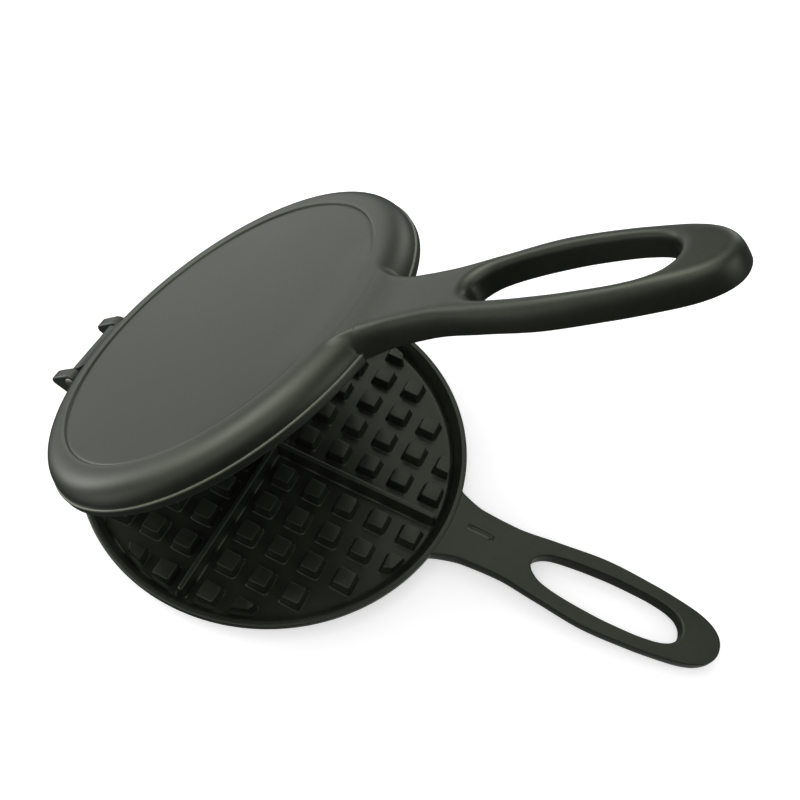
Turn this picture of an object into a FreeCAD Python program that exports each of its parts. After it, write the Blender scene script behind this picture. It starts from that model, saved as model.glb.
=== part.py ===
"""Two-piece cast iron waffle iron for a stovetop, standing open on its lower casting.

Millimetres, +Z up. The origin is on the surface the iron stands on, under the middle of its
length. +X runs from the plate to the handles, and Y runs along the hinge pin.
Each casting is drawn about the plate's centre, closed, with its parting face on z = 0 and its
outside up. It is then turned over (lower half) or swung open about the pin (upper half), and
placed() carries it to the frame above.
"""
import FreeCAD
import Part
import math
import os

V = FreeCAD.Vector

# Plate
plate_radius = 95.0
casting_depth = 13.1
rim_band = 3.6
rim_ledge = 1.0
shoulder_points = 9
shoulder_width_power = 0.85
shoulder_height_power = 0.9
disc_radius = 79.7
disc_recess = 0.8
lip_land = 1.4
lip_slope = 0.9
rim_land = 2.6
cavity_draft = 3.4
floor_thickness = 3.8
cavity_corner = 1.6

# Waffle pattern
peg_pitch = 17.05
peg_first_x = 11.55
peg_first_y = 12.8
peg_rows = 5
peg_top_width = 8.3
peg_draft = 1.15
peg_below_rim = 2.8
peg_corner = 0.9
peg_edge = 0.45
peg_flare = 0.8
peg_rim_gap = 1.9
peg_least_share = 0.25
divider_top_width = 2.3
divider_draft = 1.3
divider_below_rim = 1.4
divider_rim_gap = 2.2

# Handle
handle_root_x = 64.0
handle_tip_x = 229.5
handle_bend_x = 100.0
lower_handle_rise = 0.7
lower_handle_arch = 0.0
upper_handle_rise = 5.0
upper_handle_arch = 2.2
handle_half_width = 18.0
handle_height = 13.0
handle_face_gap = 0.5
handle_squareness = 3.0
handle_section_points = 17
slot_start_x = 137.0
slot_end_x = 211.5
slot_half_width = 11.1
slot_outer_edge = 1.9
slot_face_edge = 0.8
# Along the handle, half width and height, each a share of the size it follows
handle_station_shares = (
    (0.000, 1.90, 0.900),
    (0.070, 1.74, 0.975),
    (0.135, 1.30, 1.000),
    (0.195, 0.955, 0.965),
    (0.265, 0.775, 0.915),
    (0.365, 0.735, 0.875),
    (0.490, 0.860, 0.850),
    (0.650, 1.000, 0.845),
    (0.785, 0.930, 0.840),
    (0.880, 0.760, 0.825),
    (0.935, 0.620, 0.790),
    (0.975, 0.430, 0.720),
    (1.000, 0.160, 0.600),
)
# Along the finger slot and across it, each a share of the slot's length and half width
slot_outline_shares = (
    (0.000, 0.00),
    (0.035, 0.36),
    (0.100, 0.62),
    (0.215, 0.82),
    (0.365, 0.945),
    (0.545, 1.00),
    (0.710, 0.975),
    (0.850, 0.87),
    (0.940, 0.67),
    (0.987, 0.35),
    (1.000, 0.00),
)

# Hinge
pin_x = -104.0
pin_height = 4.5
pin_radius = 2.0
pin_head_radius = 3.2
pin_head_height = 1.2
pin_head_edge = 0.6
pin_running_clearance = 0.1
pin_seat_clearance = 0.02
ear_inner_y = 16.0
ear_thickness = 6.0
ear_eye_radius = 4.8
ear_tip_x = -117.5
ear_tip_z = -2.4
ear_tip_height = 3.0
ear_under_x = -107.5
ear_under_z = -9.6
ear_inside_x = -98.4
ear_corner = 1.8
shelf_top_z = -6.3
shelf_outer_x = -103.0
knuckle_radius = 4.0
knuckle_side_gap = 0.4
web_top_z = 10.6
web_under_z = 1.2
hinge_overlap = 7.0
stop_length = 10.2
stop_half_thickness = 2.0
stop_half_width = 5.0
stop_angle = 208.0

# Short plain groove in the flat face of the lower handle
groove_x = 113.0
groove_y = 1.5
groove_radius = 14.0
groove_width = 1.5
groove_depth = 0.5
groove_half_angle = 24.0

open_angle = 39.2
overrun = 1.0


def placed(shape):
    """Stand the shape on z = 0, with the middle of the iron's length at x = 0."""
    shape.translate(V(-(ear_tip_x + handle_tip_x) / 2, 0, casting_depth))
    return shape


def spun(points):
    """A solid of revolution about Z from a closed outline of (radius, z) points."""
    wire = Part.makePolygon([V(r, 0, z) for r, z in points + points[:1]])
    return Part.Face(wire).revolve(V(0, 0, 0), V(0, 0, 1), 360)


def prism_y(points, low_y, high_y):
    """A prism along Y from a closed outline of (x, z) points."""
    wire = Part.makePolygon([V(x, low_y, z) for x, z in points + points[:1]])
    return Part.Face(wire).extrude(V(0, high_y - low_y, 0))


def rod_y(x, z, radius, low_y, high_y):
    return Part.makeCylinder(radius, high_y - low_y, V(x, low_y, z), V(0, 1, 0))


def plate_body():
    """Round plate: upright rim band, narrow ledge, rounded shoulder, thin lip and sunk disc."""
    shoulder_foot = plate_radius - rim_ledge
    crest_radius = disc_radius + lip_slope + lip_land
    points = [(0, 0), (plate_radius, 0), (plate_radius, rim_band), (shoulder_foot, rim_band)]
    shoulder = []
    for step in range(shoulder_points):
        turn = math.pi / 2 * step / (shoulder_points - 1)
        out = math.cos(turn) ** shoulder_width_power
        up = math.sin(turn) ** shoulder_height_power
        radius = crest_radius + (shoulder_foot - crest_radius) * out
        height = rim_band + (casting_depth - rim_band) * up
        shoulder.append(V(radius, 0, height))
    curve = Part.BSplineCurve()
    curve.interpolate(shoulder)
    straight = [V(r, 0, z) for r, z in points]
    inner = [
        V(disc_radius + lip_slope, 0, casting_depth),
        V(disc_radius, 0, casting_depth - disc_recess),
        V(0, 0, casting_depth - disc_recess),
        V(0, 0, 0),
    ]
    edges = [Part.makeLine(a, b) for a, b in zip(straight, straight[1:])]
    edges.append(curve.toShape())
    last = [shoulder[-1]] + inner
    edges += [Part.makeLine(a, b) for a, b in zip(last, last[1:])]
    return Part.Face(Part.Wire(edges)).revolve(V(0, 0, 0), V(0, 0, 1), 360)


def cavity():
    """The dish for the batter, with a drafted wall and a hollow corner."""
    top = plate_radius - rim_land
    floor_radius = top - cavity_draft
    floor_z = casting_depth - disc_recess - floor_thickness
    return spun([
        (0, -overrun),
        (top, -overrun),
        (top, 0),
        (floor_radius, floor_z - cavity_corner),
        (floor_radius - cavity_corner, floor_z),
        (0, floor_z),
    ])


def frustum(half_x, half_y, grow, low, high):
    """A block that widens by grow on each side from low to high."""
    wide_x = half_x + grow
    wide_y = half_y + grow
    block = Part.makeWedge(-half_x, low, -half_y, -wide_y, -wide_x,
                           half_x, high, half_y, wide_y, wide_x)
    block.rotate(V(0, 0, 0), V(1, 0, 0), 90)
    return block


def peg():
    """One tapered peg with rounded corners and a spread foot, centred on the Z axis."""
    floor_z = casting_depth - disc_recess - floor_thickness
    half = peg_top_width / 2
    body = frustum(half, half, peg_draft, peg_below_rim, floor_z)
    upright = [e for e in body.Edges if abs(e.Vertexes[0].Z - e.Vertexes[1].Z) > peg_flare]
    body = body.makeFillet(peg_corner, upright)
    top = [e for e in body.Edges if e.BoundBox.ZMax < peg_below_rim + peg_edge / 2]
    body = body.makeFillet(peg_edge, top)
    foot_half = half + peg_draft
    foot = frustum(foot_half - peg_flare / 2, foot_half - peg_flare / 2, peg_flare,
                   floor_z - peg_flare, floor_z)
    return body.fuse(foot)


def pegs():
    """All pegs of one casting, trimmed where they come near the rim."""
    floor_radius = plate_radius - rim_land - cavity_draft
    clip_radius = floor_radius - peg_rim_gap
    clip = Part.makeCylinder(clip_radius, casting_depth, V(0, 0, 0))
    one = peg()
    made = []
    for i in range(peg_rows):
        for j in range(peg_rows):
            x = peg_first_x + i * peg_pitch
            y = peg_first_y + j * peg_pitch
            if math.hypot(x, y) > clip_radius + peg_least_share * peg_top_width:
                continue
            reach = math.hypot(x + peg_top_width, y + peg_top_width)
            for side_x in (1, -1):
                for side_y in (1, -1):
                    copy = one.copy()
                    copy.translate(V(side_x * x, side_y * y, 0))
                    made.append(copy.common(clip) if reach > clip_radius else copy)
    return made


def dividers():
    """The cross of two ribs that parts the waffle into quarters."""
    floor_z = casting_depth - disc_recess - floor_thickness
    top = plate_radius - rim_land
    length = top - cavity_draft - divider_rim_gap
    half = divider_top_width / 2
    along_x = frustum(length, half, divider_draft, divider_below_rim, floor_z)
    along_y = frustum(half, length, divider_draft, divider_below_rim, floor_z)
    ribs = []
    for rib in (along_x, along_y):
        top_edges = [e for e in rib.Edges if e.BoundBox.ZMax < divider_below_rim + peg_edge / 2]
        ribs.append(rib.makeFillet(peg_edge, top_edges))
    return ribs


def handle_lift(x, rise, arch):
    """How far the handle stands off the parting face: a straight rise with an arch on it."""
    share = max(0, (x - handle_bend_x) / (handle_tip_x - handle_bend_x))
    return rise * share + 4 * arch * share * (1 - share)


def handle_section(x, half_width, height, lift):
    """A D of rounded top and flat face, square to X, lifted off the parting face."""
    full = height - handle_face_gap
    points = []
    for step in range(handle_section_points):
        turn = math.pi * step / (handle_section_points - 1)
        across = math.copysign(abs(math.cos(turn)) ** (2 / handle_squareness), math.cos(turn))
        up = math.sin(turn) ** (2 / handle_squareness) if 0 < turn < math.pi else 0
        points.append(V(x, half_width * across, lift + handle_face_gap + full * up))
    curve = Part.BSplineCurve()
    curve.interpolate(points)
    return Part.Wire([curve.toShape(), Part.makeLine(points[-1], points[0])])


def slot_edges(bar, on_flat_face, rise, arch):
    """The slot's edges on the flat face, or those on the rounded outside."""
    found = []
    for edge in bar.Edges:
        box = edge.BoundBox
        inside = box.XMin > slot_start_x - overrun and box.XMax < slot_end_x + overrun
        middle = edge.CenterOfMass
        face = handle_face_gap + handle_lift(middle.x, rise, arch)
        flat = middle.z < face + slot_outer_edge
        if inside and box.YLength > slot_half_width and flat == on_flat_face:
            found.append(edge)
    return found


def handle(rise, arch):
    """Loop handle: a lofted bar, wide at the root and the grip, with a long finger slot."""
    length = handle_tip_x - handle_root_x
    sections = []
    for along, width_share, height_share in handle_station_shares:
        x = handle_root_x + along * length
        sections.append(handle_section(x, width_share * handle_half_width,
                                       height_share * handle_height, handle_lift(x, rise, arch)))
    bar = Part.makeLoft(sections, True, False)
    slot_length = slot_end_x - slot_start_x
    side = [(slot_start_x + a * slot_length, b * slot_half_width) for a, b in slot_outline_shares]
    outline = side + [(x, -y) for x, y in side[-2:0:-1]]
    curve = Part.BSplineCurve()
    curve.interpolate([V(x, y, -overrun) for x, y in outline], PeriodicFlag=True)
    face = Part.Face(Part.Wire([curve.toShape()]))
    bar = bar.cut(face.extrude(V(0, 0, handle_height + rise + arch + 2 * overrun)))
    bar = bar.makeFillet(slot_outer_edge, slot_edges(bar, False, rise, arch))
    return bar.makeFillet(slot_face_edge, slot_edges(bar, True, rise, arch))


def upper_knuckle():
    """Barrel round the pin, the web that joins it to the plate, and the stop under it."""
    half = ear_inner_y - knuckle_side_gap
    barrel = rod_y(pin_x, pin_height, knuckle_radius, -half, half)
    plate_x = -plate_radius + hinge_overlap
    web = prism_y([
        (pin_x, pin_height + knuckle_radius),
        (plate_x, web_top_z),
        (plate_x, web_under_z),
        (-plate_radius - rim_ledge, web_under_z + rim_ledge),
        (pin_x, pin_height - knuckle_radius),
    ], -half, half)
    turn = math.radians(stop_angle)
    out = V(math.cos(turn), 0, math.sin(turn))
    side = V(-out.z, 0, out.x)
    centre = V(pin_x, -stop_half_width, pin_height)
    corners = []
    for reach, lateral in ((0, -1), (stop_length, -1), (stop_length, 1), (0, 1)):
        corners.append(centre + out * reach + side * (lateral * stop_half_thickness))
    stop = Part.Face(Part.makePolygon(corners + corners[:1]))
    stop = stop.extrude(V(0, 2 * stop_half_width, 0))
    return barrel.fuse([web, stop]).removeSplitter()


def ear(low_y):
    """One raised ear of the lower casting, drawn in the closed frame with the lower half down."""
    eye_top = pin_height + ear_eye_radius
    profile = prism_y([
        (-plate_radius + hinge_overlap, ear_under_z),
        (ear_under_x, ear_under_z),
        (ear_tip_x, ear_tip_z - ear_tip_height / 2),
        (ear_tip_x, ear_tip_z + ear_tip_height / 2),
        (pin_x - ear_eye_radius, eye_top - ear_corner),
        (pin_x - ear_eye_radius / 2, eye_top),
        (ear_inside_x - ear_corner, eye_top),
        (ear_inside_x, eye_top - ear_corner),
        (ear_inside_x, -handle_face_gap),
        (-plate_radius + hinge_overlap, -handle_face_gap),
    ], low_y, low_y + ear_thickness)
    corner_edges = []
    for edge in profile.Edges:
        box = edge.BoundBox
        if box.YLength > ear_thickness / 2 and box.XMax < ear_inside_x + ear_corner / 2:
            corner_edges.append(edge)
    profile = profile.makeFillet(ear_corner / 2, corner_edges)
    return profile


def pin_bore(clearance):
    reach = ear_inner_y + ear_thickness + overrun
    return rod_y(pin_x, pin_height, pin_radius + clearance, -reach, reach)


def half_blank(rise, arch):
    """The outside of a casting, before its dish is cut."""
    return plate_body().fuse(handle(rise, arch))


def with_dish(blank):
    """Cut the dish and stand the waffle pattern in it."""
    return blank.cut(cavity()).fuse(pegs() + dividers()).removeSplitter()


def upper_half():
    blank = half_blank(upper_handle_rise, upper_handle_arch)
    body = with_dish(blank.fuse(upper_knuckle()))
    body = body.cut(pin_bore(pin_running_clearance))
    body.rotate(V(pin_x, 0, pin_height), V(0, 1, 0), -open_angle)
    return placed(body)


def groove():
    """A short plain curved stroke in the flat face of the lower handle."""
    centre = V(groove_x, groove_y - groove_radius, -handle_face_gap - groove_depth)
    outer = Part.makeCylinder(groove_radius + groove_width / 2, groove_depth + overrun, centre)
    inner = Part.makeCylinder(groove_radius - groove_width / 2, groove_depth + overrun, centre)
    ring = outer.cut(inner)
    reach = 2 * groove_radius
    half = math.radians(groove_half_angle)
    wedge = Part.Face(Part.makePolygon([
        centre,
        centre + V(reach * math.sin(half), reach * math.cos(half), 0),
        centre + V(-reach * math.sin(half), reach * math.cos(half), 0),
        centre,
    ])).extrude(V(0, 0, groove_depth + overrun))
    return ring.common(wedge)


def lower_half():
    blank = half_blank(lower_handle_rise, lower_handle_arch)
    body = with_dish(blank).mirror(V(0, 0, 0), V(0, 0, 1))
    shelf = Part.makeBox(
        -shelf_outer_x - plate_radius + hinge_overlap,
        2 * ear_inner_y,
        shelf_top_z - ear_under_z,
        V(shelf_outer_x, -ear_inner_y, ear_under_z),
    )
    dish = cavity().mirror(V(0, 0, 0), V(0, 0, 1))
    fittings = [ear(ear_inner_y), ear(-ear_inner_y - ear_thickness), shelf]
    body = body.fuse([piece.cut(dish) for piece in fittings])
    body = body.cut(pin_bore(pin_seat_clearance)).cut(groove()).removeSplitter()
    return placed(body)


def hinge_pin():
    """Steel pin with a round head at each end, riveted through both ears."""
    reach = ear_inner_y + ear_thickness
    pin = rod_y(pin_x, pin_height, pin_radius, -reach, reach)
    heads = []
    for low_y in (-reach - pin_head_height, reach):
        head = rod_y(pin_x, pin_height, pin_head_radius, low_y, low_y + pin_head_height)
        outer_y = low_y if low_y < 0 else low_y + pin_head_height
        rim = [e for e in head.Edges
               if abs(e.BoundBox.YMax - outer_y) + abs(e.BoundBox.YMin - outer_y) < pin_head_edge]
        heads.append(head.makeFillet(pin_head_edge, rim))
    return placed(pin.fuse(heads).removeSplitter())


os.makedirs("parts", exist_ok=True)
for name, shape in (
    ("lower_half", lower_half()),
    ("upper_half", upper_half()),
    ("hinge_pin", hinge_pin()),
):
    print(name, shape.ShapeType, len(shape.Solids), "valid", shape.isValid(),
          "volume cm3", round(shape.Volume / 1000, 1))
    solid = shape.Solids[0] if len(shape.Solids) == 1 else shape
    solid.exportStep("parts/" + name + ".step")
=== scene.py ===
# %% [markdown]
# A cast iron waffle iron for a stovetop, standing half open.
# It is two castings on one steel pin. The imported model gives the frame: where each casting is
# and how the upper one turns. The script dresses that frame with finer meshes and with the look
# of seasoned iron.

import math

import bpy
import bmesh
import numpy as np
from mathutils import Matrix, Vector


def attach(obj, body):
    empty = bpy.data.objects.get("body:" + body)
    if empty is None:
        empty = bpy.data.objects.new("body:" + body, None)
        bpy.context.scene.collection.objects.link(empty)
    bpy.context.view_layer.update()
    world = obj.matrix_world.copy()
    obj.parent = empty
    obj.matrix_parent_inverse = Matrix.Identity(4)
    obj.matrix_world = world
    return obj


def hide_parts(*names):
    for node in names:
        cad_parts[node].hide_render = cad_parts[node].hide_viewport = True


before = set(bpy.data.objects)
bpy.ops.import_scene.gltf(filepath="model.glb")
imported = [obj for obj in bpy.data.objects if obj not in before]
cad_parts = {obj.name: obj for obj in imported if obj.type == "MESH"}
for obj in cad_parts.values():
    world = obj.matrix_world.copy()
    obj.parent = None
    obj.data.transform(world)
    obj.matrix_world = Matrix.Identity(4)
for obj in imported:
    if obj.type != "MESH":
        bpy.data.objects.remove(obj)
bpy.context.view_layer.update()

# %% [markdown]
# Every length below is in millimetres about the centre of a plate, in the pose in which the
# iron is closed: the two rims meet on z = 0 and the outside of the casting points up. That is
# how a pattern maker would draw it, and both castings then share one set of numbers.

# %% Sizes of the castings
MM = 0.001
PLATE_RADIUS = 94.99
CASTING_DEPTH = 13.1
RIM_BAND = 3.6
RIM_LEDGE = 1.0
DISC_HEIGHT = 12.3
LIP_END = 81.6
SHOULDER_START = 82.0
RIM_LAND = 2.6
FLOOR_HEIGHT = 8.5
HANDLE_GAP = 0.5
HANDLE_TIP = 229.5
HANDLE_WIDTH = 18.0
HANDLE_HEIGHT = 13.0
SLOT_START = 137.0
SLOT_END = 211.5
SLOT_WIDTH = 11.1
HANDLE_BEND = 100.0
BEND_SOFT = 6.0
LIFTS = {"lower": (0.7, 0.0), "upper": (5.0, 2.2)}
PIN = (-104.0, 4.5)
OPEN_ANGLE = math.radians(39.2)
MIDDLE = (-117.5 + HANDLE_TIP) / 2

# %% [markdown]
# Each casting is drawn once, closed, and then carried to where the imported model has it. The
# points are moved and not the object, so every object stays at the origin, unturned, where the
# export puts it before it bakes a finish.

# %% From the drawing pose to the standing pose
def lower_place(points):
    """Turn the drawn casting over, to stand on its outside."""
    out = np.array(points, float)
    out[:, 2] = CASTING_DEPTH - out[:, 2]
    out[:, 0] -= MIDDLE
    return out * MM


def upper_place(points):
    """Swing the drawn casting open about the pin."""
    out = np.array(points, float)
    x = out[:, 0] - PIN[0]
    z = out[:, 2] - PIN[1]
    out[:, 0] = PIN[0] + x * math.cos(OPEN_ANGLE) - z * math.sin(OPEN_ANGLE) - MIDDLE
    out[:, 2] = PIN[1] + x * math.sin(OPEN_ANGLE) + z * math.cos(OPEN_ANGLE) + CASTING_DEPTH
    return out * MM


def pin_place(points):
    """Carry what is drawn in the closed pose, with the lower half down."""
    out = np.array(points, float)
    out[:, 0] -= MIDDLE
    out[:, 2] += CASTING_DEPTH
    return out * MM


print("parting face", CASTING_DEPTH, "mm above the table, pin at", PIN)

# %% [markdown]
# The camera comes first, because every later choice is judged through it. It looks down on the
# iron from the front right, a little rolled, as the photograph was taken.

# %% Camera
CAMERA_AT = Vector((125.57 - MIDDLE, -198.74, 397.09 + CASTING_DEPTH)) * MM
CAMERA_RIGHT = Vector((0.89774, 0.43203, 0.08612))
CAMERA_UP = Vector((-0.40531, 0.73347, 0.54566))
CAMERA_BACK = Vector((0.17258, -0.52477, 0.83357))
camera_data = bpy.data.cameras.new("camera")
camera_data.sensor_fit = "HORIZONTAL"
camera_data.sensor_width = 36.0
camera_data.lens = 41.563
camera = bpy.data.objects.new("camera", camera_data)
bpy.context.scene.collection.objects.link(camera)
turn = Matrix((CAMERA_RIGHT, CAMERA_UP, CAMERA_BACK)).transposed().to_4x4()
camera.matrix_world = Matrix.Translation(CAMERA_AT) @ turn
bpy.context.scene.camera = camera
print("camera at", [round(c, 4) for c in CAMERA_AT])

# %% [markdown]
# A casting has no hard corners: sand can't hold one. So surfaces are given as formulas, and a
# smooth maximum joins two of them with a fillet where they meet.

# %% Helpers for smooth shapes
def smooth_through(xs, ys):
    """A curve through the points that doesn't overshoot, for one number or many.

    Inside, its slope is the harmonic mean of both sides, or nought where they turn back."""
    xs = np.array(xs, float)
    ys = np.array(ys, float)
    rise = np.diff(ys) / np.diff(xs)
    slope = np.zeros(len(xs))
    for i in range(1, len(xs) - 1):
        if rise[i - 1] * rise[i] > 0:
            slope[i] = 2 * rise[i - 1] * rise[i] / (rise[i - 1] + rise[i])
    slope[0] = rise[0]
    slope[-1] = rise[-1]

    def curve(at):
        at = np.clip(np.asarray(at, float), xs[0], xs[-1])
        i = np.clip(np.searchsorted(xs, at) - 1, 0, len(xs) - 2)
        span = xs[i + 1] - xs[i]
        t = (at - xs[i]) / span
        start = ys[i] * (1 + 2 * t) * (1 - t) ** 2 + slope[i] * span * t * (1 - t) ** 2
        end = ys[i + 1] * t * t * (3 - 2 * t) + slope[i + 1] * span * t * t * (t - 1)
        return start + end

    return curve


def smooth_step(value, start, end):
    """0 before start and 1 after end, with a soft change between."""
    share = np.clip((value - start) / (end - start), 0, 1)
    return share * share * (3 - 2 * share)


def smooth_max(a, b, width):
    """The higher of two heights, with a fillet where they are nearly the same."""
    near = np.maximum(width - np.abs(a - b), 0) / width
    return np.maximum(a, b) + near * near * width / 4


def rounding(distance, radius):
    """How far a rounded edge has dropped at a distance from the edge."""
    inside = np.clip(radius - distance, 0, radius)
    return radius - np.sqrt(radius * radius - inside * inside)


print("a fillet of 2 mm adds", round(float(smooth_max(0.0, 0.0, 2.0)), 2), "mm where two meet")

# %% [markdown]
# Points and faces worked out by a formula become a mesh here. Doubles are merged, so that parts
# drawn apart weld into one skin. Shading is smooth, but for edges sharper than an angle, where
# the metal has a real edge.

# %% Helpers for meshes
WELD = 2e-6
SLIVER = 1e-7


def add_mesh(name, points, faces, smooth_angle=40.0):
    """A mesh object with merged doubles, outward faces, and shading smooth but at edges."""
    mesh = bpy.data.meshes.new(name)
    mesh.from_pydata([tuple(p) for p in points], [], faces)
    work = bmesh.new()
    work.from_mesh(mesh)
    bmesh.ops.remove_doubles(work, verts=work.verts, dist=WELD)
    bmesh.ops.dissolve_degenerate(work, dist=SLIVER, edges=work.edges)
    bmesh.ops.recalc_face_normals(work, faces=work.faces)
    for face in work.faces:
        face.smooth = True
    for edge in work.edges:
        edge.smooth = edge.calc_face_angle(0.0) < math.radians(smooth_angle)
    work.to_mesh(mesh)
    work.free()
    made = bpy.data.objects.new(name, mesh)
    bpy.context.scene.collection.objects.link(made)
    return made


def sheet_faces(rows, columns, start=0, closed=False):
    """Quads of a grid of points that is listed row by row."""
    faces = []
    for i in range(rows - 1):
        for j in range(columns if closed else columns - 1):
            k = (j + 1) % columns
            a = start + i * columns
            faces.append((a + j, a + k, a + columns + k, a + columns + j))
    return faces


print("helpers ready")

# %% [markdown]
# The handle is a bar with a flat face on the parting side, a rounded outside and a long finger
# slot. Half its width and its height change along it, so both are tables with a smooth curve
# drawn through them, from the root under the plate to the broad tip.

# %% The handle's outline
ROOT_START = 64.0
STATIONS = (
    (0.000, 1.90, 0.900), (0.070, 1.74, 0.975), (0.135, 1.30, 1.000), (0.195, 0.955, 0.965),
    (0.265, 0.775, 0.915), (0.365, 0.735, 0.875), (0.490, 0.860, 0.850), (0.650, 1.000, 0.845),
    (0.785, 0.930, 0.835), (0.880, 0.820, 0.820), (1.000, 0.660, 0.770),
)
SLOT_OUTLINE = (
    (0.000, 0.00), (0.035, 0.42), (0.100, 0.67), (0.215, 0.84), (0.365, 0.945), (0.545, 1.00),
    (0.710, 0.975), (0.850, 0.87), (0.940, 0.67), (0.987, 0.35), (1.000, 0.00),
)
station_x = [ROOT_START + s[0] * (HANDLE_TIP - ROOT_START) for s in STATIONS]
bar_width = smooth_through(station_x, [s[1] * HANDLE_WIDTH for s in STATIONS])
height_at = smooth_through(station_x, [s[2] * HANDLE_HEIGHT for s in STATIONS])
TIP_START = 197.0
TIP_BLUNTNESS = 4.6
TIP_ROUNDNESS = 0.4545


def width_at(x):
    """Half the handle's width, closed at the tip by a blunt round cap."""
    along = np.clip((np.asarray(x, float) - TIP_START) / (HANDLE_TIP - TIP_START), 0, 1)
    return bar_width(x) * (1 - along ** TIP_BLUNTNESS) ** TIP_ROUNDNESS


def rounded_end(table, start, end, half):
    """The half width of a loop whose ends are round, from a table of shares."""
    turns = [math.acos(1 - 2 * t[0]) for t in table]
    across = smooth_through(turns, [t[1] * half for t in table])
    return lambda x: across(np.arccos(np.clip(1 - 2 * (x - start) / (end - start), -1, 1)))


slot_at = rounded_end(SLOT_OUTLINE, SLOT_START, SLOT_END, SLOT_WIDTH)
FORK = 126.0
spread = (1 - np.cos(np.linspace(0, math.pi, 300))) / 2
edge_x = np.concatenate([np.linspace(60, FORK, 100)[:-1], FORK + (HANDLE_TIP - FORK) * spread])
edge_line = np.column_stack([edge_x, width_at(edge_x)])
slot_x = SLOT_START + (SLOT_END - SLOT_START) * spread
slot_line = np.column_stack([slot_x, slot_at(slot_x)])


def distance_to(line, x, y):
    """The distance of points from a line of points, on the side where y is positive."""
    a = line[:-1]
    b = line[1:]
    along = b - a
    p = np.stack([np.ravel(x), np.abs(np.ravel(y))], axis=1)[:, None, :]
    t = np.clip(((p - a) * along).sum(2) / np.maximum((along * along).sum(1), 1e-9), 0, 1)
    away = p - (a + t[:, :, None] * along)
    return np.sqrt((away * away).sum(2)).min(1).reshape(np.shape(x))


print("grip is", round(2 * float(width_at(172.0)), 1), "mm wide")

# %% [markdown]
# Plate and handle are one casting, so their outsides must flow into each other. Each outside is
# a formula for its height over a point of the plan. The disc has a lip round it, which fades out
# towards the handle, and the handle's edges are round with a reach that grows along the grip.
# The tables below hold places first and values second, for np.interp.

# %% Heights of the plate and the handle
CREST = (
    (0, DISC_HEIGHT), (78.6, DISC_HEIGHT), (79.0, 12.22), (79.35, 12.05), (79.6, 12.1),
    (79.85, 12.5), (80.1, 12.9), (80.4, 13.06), (80.9, CASTING_DEPTH), (LIP_END, CASTING_DEPTH),
)
SHOULDER_STEPS = 26
SHOULDER_POWERS = (0.85, 0.9)
ROOT_RISE = 0.78
ROOT_RISE_FROM = 56.0
LIP_FADE = (17.0, 35.0)
RIM_DROP = 6.0
EDGE_REACH = ((100, 125, 150, 200, 222), (4.6, 5.2, 7.2, 7.2, 5.0))
EDGE_POWER = ((88, 104), (1.7, 3.0))
CORNER_FILLET = ((60, 80, 86, 96, 112), (0.4, 0.7, 3.0, 5.0, 0.05))
FILLET_FADE = (1.0, 4.5)
CROWN_FILLET = 0.6
CROWN_CLEAR = 0.02


def shoulder(turn):
    """The rounded shoulder, from the ledge at turn 0 to the lip at turn 1."""
    a = math.pi / 2 * turn
    foot = PLATE_RADIUS - RIM_LEDGE
    radius = SHOULDER_START + (foot - SHOULDER_START) * math.cos(a) ** SHOULDER_POWERS[0]
    return radius, RIM_BAND + (CASTING_DEPTH - RIM_BAND) * math.sin(a) ** SHOULDER_POWERS[1]


shoulder_line = [shoulder(1 - i / SHOULDER_STEPS) for i in range(SHOULDER_STEPS + 1)]
outline = list(CREST) + shoulder_line
profile_radius = [p[0] for p in outline]
profile_height = [p[1] for p in outline]


def plate_top(x, y):
    """The outside of the plate. Towards the handle the lip fades into a slow rise."""
    radius = np.hypot(x, y)
    inside = np.interp(radius, profile_radius, profile_height)
    slow = DISC_HEIGHT + ROOT_RISE * smooth_step(radius, ROOT_RISE_FROM, LIP_END)
    near = 1 - smooth_step(np.degrees(np.abs(np.arctan2(y, x))), *LIP_FADE)
    inside = np.where(radius < LIP_END, inside + (slow - inside) * near, inside)
    return inside - RIM_DROP * np.maximum(radius - PLATE_RADIUS + RIM_LEDGE, 0)


def handle_top(x, distance):
    """The outside of the handle: flat at the neck, rounder along the grip."""
    full = height_at(x) - HANDLE_GAP
    power = np.interp(x, *EDGE_POWER)
    share = np.clip(distance / np.interp(x, *EDGE_REACH), 0, 1)
    return HANDLE_GAP + full * (1 - (1 - share) ** power) ** (1 / power)


def joined_top(x, y, plate, handle, away):
    """The plate's and handle's outsides with a fillet between them, under the lip's height."""
    corner = np.interp(np.hypot(x, y), *CORNER_FILLET) - CROWN_FILLET
    width = CROWN_FILLET + np.maximum(corner, 0) * (1 - smooth_step(away, *FILLET_FADE))
    return np.minimum(smooth_max(plate, handle, width), CASTING_DEPTH - CROWN_CLEAR)


print("shoulder drops", round(CASTING_DEPTH - RIM_BAND, 1), "mm to the ledge")

# %% [markdown]
# A plate is a turned shape: one outline swept once round its centre. The outline runs over the
# sunk disc, its thin lip, the shoulder, the ledge and the upright rim, and back under through
# the dish. Where the handle's root is higher than the plate, the points are lifted to it.

# %% The plate's outline
TOP_RINGS = (0, 12, 24, 36, 46, 52, 55, 58, 61, 64, 66, 68, 70, 72, 74, 76, 77.5, 78.6, 79.0, 79.35,
             79.6, 79.85, 80.1, 80.4, 80.9, LIP_END)
RIM_LINE = (
    (94.35, 3.62), (94.62, 3.58), (94.85, 3.44), (94.96, 3.2), (PLATE_RADIUS, 2.9),
    (PLATE_RADIUS, 2.0), (PLATE_RADIUS, 1.0), (PLATE_RADIUS, 0.45), (94.9, 0.18), (94.72, 0.04),
    (94.5, 0), (93.6, 0), (92.75, 0), (92.5, 0.06), (92.36, 0.22), (92.25, 0.5),
)
WALL_SLANT = 3.4
WALL_DEPTH = 6.0
DISH_ROUND = 2.0
FLOOR_RINGS = (85, 80, 74, 66, 58, 50, 42, 34, 26, 18, 9, 0)


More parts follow.
